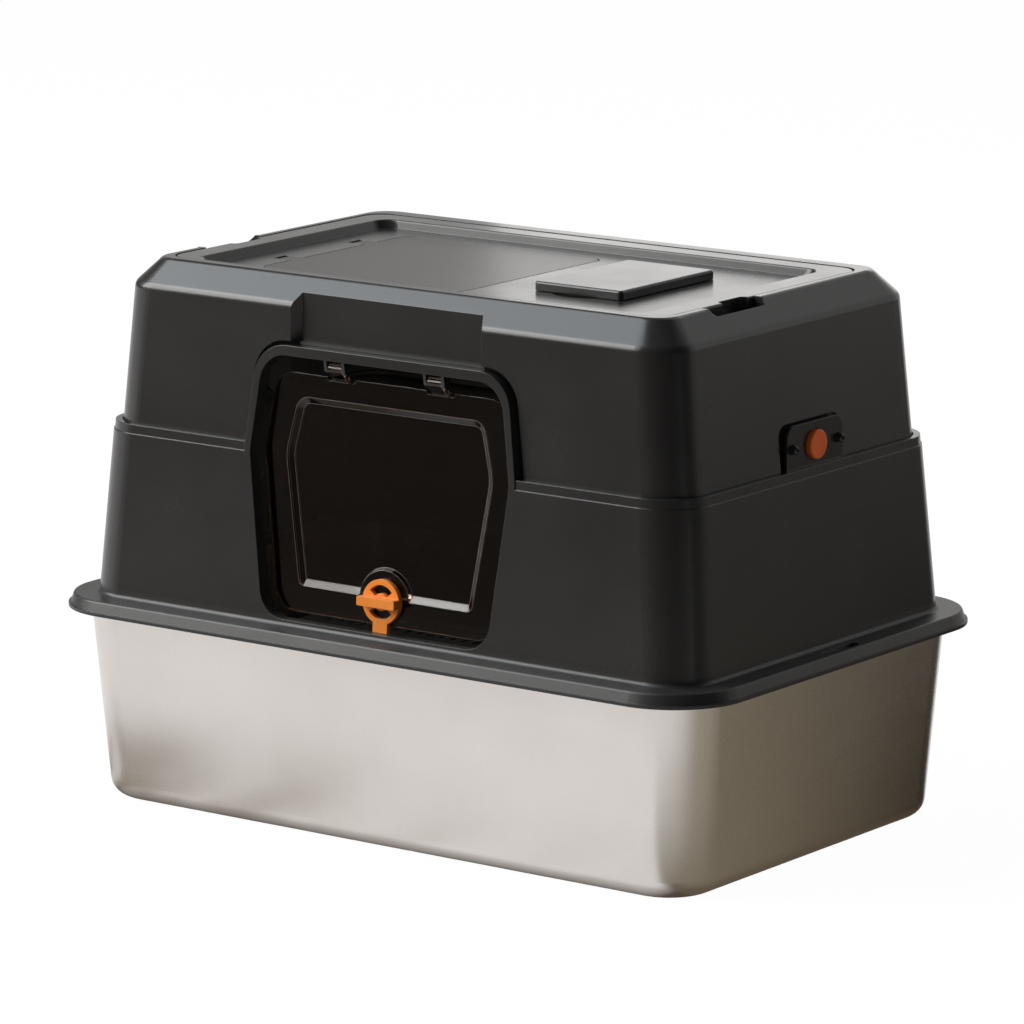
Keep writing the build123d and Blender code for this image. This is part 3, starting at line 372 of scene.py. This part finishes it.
def floor_paper(name):
    """Sheet seen as white by the eye and through clear plastic, and as grey paper by other light.

    Shiny surfaces alone see painted reflections on it: a white sheet close in front and out to the left, painted
    warm shade patches near its left part, a painted contact shadow as a dark line round the pan's foot, a painted
    dim stretch further out in front, and painted brown on the right.
    """
    f = Finish(name)
    spot = f.node("ShaderNodeSeparateXYZ", Vector=f.place)
    x, y = spot.outputs["X"], spot.outputs["Y"]
    rays = f.tree.nodes.new("ShaderNodeLightPath").outputs

    slant = f.math("SUBTRACT", f.math("MULTIPLY", x, LEFT_SLANT), y)
    # Painted reflection: a dim, streaked stretch further out in front darkens what shiny front faces mirror
    ahead = f.product(f.ramp(y, 0.0, 1.0, -0.60, -0.90), f.ramp(slant, 0.0, 1.0, 0.0, 0.15))
    streak = f.ramp(f.noise(7, 3, 0.6, (0.5, 3.0, 1.0)), 0.75, 1.25)
    dim_reflection = f.mixed(f.ramp(y, 0.0, 1.0, -0.8, -1.5), DIM_REFLECTION_NEAR, DIM_REFLECTION_FAR)
    dim_reflection = f.scaled(dim_reflection, streak)

    # Painted reflection: brown on the right, seen only by shiny surfaces, darkens what shiny right-hand faces
    # mirror
    beside = f.product(f.ramp(x, 0.0, 1.0, 0.262, 0.275), f.ramp(y, 0.0, 1.0, -0.48, -0.18))
    along = f.math("SUBTRACT", y, f.math("MULTIPLY", x, SIDE_SLANT))
    brown = f.mixed(f.ramp(along, 0.0, 1.0, -0.88, -0.56), SIDE_REFLECTION_PALE, SIDE_REFLECTION_BROWN)
    brown = f.mixed(f.ramp(along, 0.0, 1.0, -0.54, -0.24), brown, SIDE_REFLECTION_DEEP)
    brown = f.mixed(f.ramp(x, 0.0, 1.0, 0.9, 1.8), brown, SIDE_REFLECTION_FAR)

    # Painted shade: warm dark patches in the reflected sheet near its left part, seen only by shiny surfaces
    warm = f.product(
        f.ramp(x, 1.0, 0.2, -0.26, 0.05),
        f.ramp(y, 0.0, 1.0, -0.36, -0.25),
        f.ramp(x, 0.0, 1.0, -0.50, -0.36),
        f.ramp(y, 1.0, 0.0, -0.14, -0.06),
        f.ramp(f.noise(9, 2, 0.5), 0.4, 1.0, 0.4, 0.6),
    )
    sheet = f.mixed(warm, SHEET_NEAR, WARM_SHADE_PATCH)

    # Painted contact shadow: dark round and under the pan's foot, seen only by shiny surfaces
    off_x = f.math("SUBTRACT", f.math("ABSOLUTE", x, 0.0), PAN_FOOT[0])
    off_y = f.math("SUBTRACT", f.math("ABSOLUTE", y, 0.0), PAN_FOOT[1])
    under = f.ramp(f.math("MAXIMUM", off_x, off_y), 1.0, 0.0, 0.004, 0.028)

    mirrored = f.mixed(beside, f.mixed(ahead, sheet, dim_reflection), brown)
    mirrored = f.mixed(under, mirrored, FOOT_SHADOW_REFLECTED)
    colour = f.mixed(rays["Is Glossy Ray"], WHITE, mirrored)
    seen = f.math("MAXIMUM", rays["Is Camera Ray"], rays["Is Glossy Ray"])
    seen = f.math("MAXIMUM", seen, rays["Is Transmission Ray"])
    paper = f.node("ShaderNodeBsdfDiffuse", Color=f.mixed(rays["Is Diffuse Ray"], PAPER_LIT, PAPER_BOUNCE))
    glow = f.node("ShaderNodeEmission", Color=colour, Strength=1.05)
    blend = f.node("ShaderNodeMixShader", Fac=f.math("MULTIPLY", seen, 0.93))
    f.tree.links.new(paper.outputs[0], blend.inputs[1])
    f.tree.links.new(glow.outputs[0], blend.inputs[2])
    f.tree.links.new(blend.outputs[0], f.output.inputs["Surface"])
    return f.material


def flat_sheet(name, corners, material, steps=9):
    """Bilinear sheet: the corners are mixed by two parameters that run from 0 to 1."""
    a, b, c, d = [np.array(corner, float) for corner in corners]
    u, v = np.meshgrid(np.linspace(0, 1, steps), np.linspace(0, 1, steps))
    u, v = u.reshape(-1, 1), v.reshape(-1, 1)
    points = (1 - u) * (1 - v) * a + u * (1 - v) * b + u * v * c + (1 - u) * v * d
    index = np.arange(steps * steps).reshape(steps, steps)
    faces = np.stack([index[:-1, :-1], index[:-1, 1:], index[1:, 1:], index[1:, :-1]], -1).reshape(-1, 4)
    mesh = bpy.data.meshes.new(name)
    mesh.from_pydata(points.tolist(), [], faces.tolist())
    mesh.materials.append(material)
    made = bpy.data.objects.new(name, mesh)
    bpy.context.scene.collection.objects.link(made)
    return made


flat_sheet("floor", [(-6, -6, 0), (6, -6, 0), (6, 6, 0), (-6, 6, 0)], floor_paper("floor_paper"))

ROOM_SOFT = (0.82, 0.86, 0.90)
ROOM_WARM = (1.0, 0.985, 0.97)


def surround(name, bright_side, soft):
    """White for the eye, a plain soft level for diffuse light, and for shiny surfaces a room lit from one side."""
    world = bpy.data.worlds.new(name)
    bpy.context.scene.world = world
    world.use_nodes = True
    tree = world.node_tree
    tree.nodes.clear()
    out = tree.nodes.new("ShaderNodeOutputWorld")
    path = tree.nodes.new("ShaderNodeLightPath")
    way = tree.nodes.new("ShaderNodeTexCoord").outputs["Generated"]
    facing = tree.nodes.new("ShaderNodeVectorMath")
    facing.operation = "DOT_PRODUCT"
    tree.links.new(way, facing.inputs[0])
    facing.inputs[1].default_value = bright_side
    level = tree.nodes.new("ShaderNodeMapRange")
    tree.links.new(facing.outputs["Value"], level.inputs["Value"])
    for key, value in (("From Min", 0.35), ("From Max", 0.72), ("To Min", 0.03), ("To Max", 0.66)):
        level.inputs[key].default_value = value
    backs = []
    for colour, strength in ((ROOM_SOFT, soft), (ROOM_WARM, level.outputs[0]), (WHITE, 1.0)):
        back = tree.nodes.new("ShaderNodeBackground")
        back.inputs["Color"].default_value = (*colour, 1)
        if isinstance(strength, float):
            back.inputs["Strength"].default_value = strength
        else:
            tree.links.new(strength, back.inputs["Strength"])
        backs.append(back.outputs[0])
    shader = backs[0]
    rays = (("Is Glossy Ray", backs[1]), ("Is Transmission Ray", backs[2]), ("Is Camera Ray", backs[2]))
    for ray, back in rays:
        chosen = tree.nodes.new("ShaderNodeMixShader")
        tree.links.new(path.outputs[ray], chosen.inputs["Fac"])
        tree.links.new(shader, chosen.inputs[1])
        tree.links.new(back, chosen.inputs[2])
        shader = chosen.outputs[0]
    tree.links.new(shader, out.inputs["Surface"])


surround("surround", bright_side=(0.0, 1.0, 0.0), soft=0.12)


def soft_lamp(name, place, aim, size, watts, colour):
    """Rectangular soft box that looks from its place towards its aim."""
    data = bpy.data.lights.new(name, "AREA")
    data.shape = "RECTANGLE"
    data.size, data.size_y = size
    data.energy = watts
    data.color = colour
    lamp = bpy.data.objects.new(name, data)
    bpy.context.scene.collection.objects.link(lamp)
    lamp.location = place
    lamp.rotation_euler = (Vector(aim) - Vector(place)).to_track_quat("-Z", "Y").to_euler()
    return lamp


BODY_MIDDLE = (0, 0, 0.25)
BEVEL_MIDDLE = (0, -0.15, 0.41)
COVER_FRONT = (0.15, 0.0, 0.42)
PAN_MIDDLE = (0, 0, 0)

soft_lamp("key_lamp", (-3.0, -2.3, 2.35), BODY_MIDDLE, (3.2, 2.6), 205, (1.0, 0.99, 0.97))
soft_lamp("bevel_lamp", (-1.30, -0.66, 2.35), BEVEL_MIDDLE, (1.7, 1.3), 28, (0.88, 0.95, 1.0))

back_lamp = soft_lamp("back_lamp", (1.5, 2.6, 0.9), BODY_MIDDLE, (1.2, 1.2), 19, (1.0, 0.92, 0.86))
back_lamp.visible_glossy = False

rear_card = soft_lamp("rear_card", (-0.20, 0.75, 0.62), COVER_FRONT, (0.62, 0.36), 0.80, ROOM_WARM)
rear_card.visible_camera = False
rear_card.visible_diffuse = False

inside_lamp = soft_lamp("inside_lamp", (0, 0, 0.365), PAN_MIDDLE, (0.30, 0.18), 0.4, (1.0, 0.94, 0.86))
inside_lamp.visible_camera = False
inside_lamp.visible_glossy = False
inside_lamp.visible_transmission = False

CAMERA_PLACE = Vector((2.76495, -3.76170, 1.19971))
CAMERA_AIM = Vector((-0.00319, 0.0, 0.22975))

camera_data = bpy.data.cameras.new("camera")
camera_data.sensor_width = 36.0
camera_data.sensor_fit = "HORIZONTAL"
camera_data.lens = 218.39
camera_data.clip_end = 50
camera = bpy.data.objects.new("camera", camera_data)
bpy.context.scene.collection.objects.link(camera)
camera.location = CAMERA_PLACE
camera.rotation_euler = (CAMERA_AIM - CAMERA_PLACE).to_track_quat("-Z", "Y").to_euler()
bpy.context.scene.camera = camera

bpy.context.scene.view_settings.view_transform = "Standard"
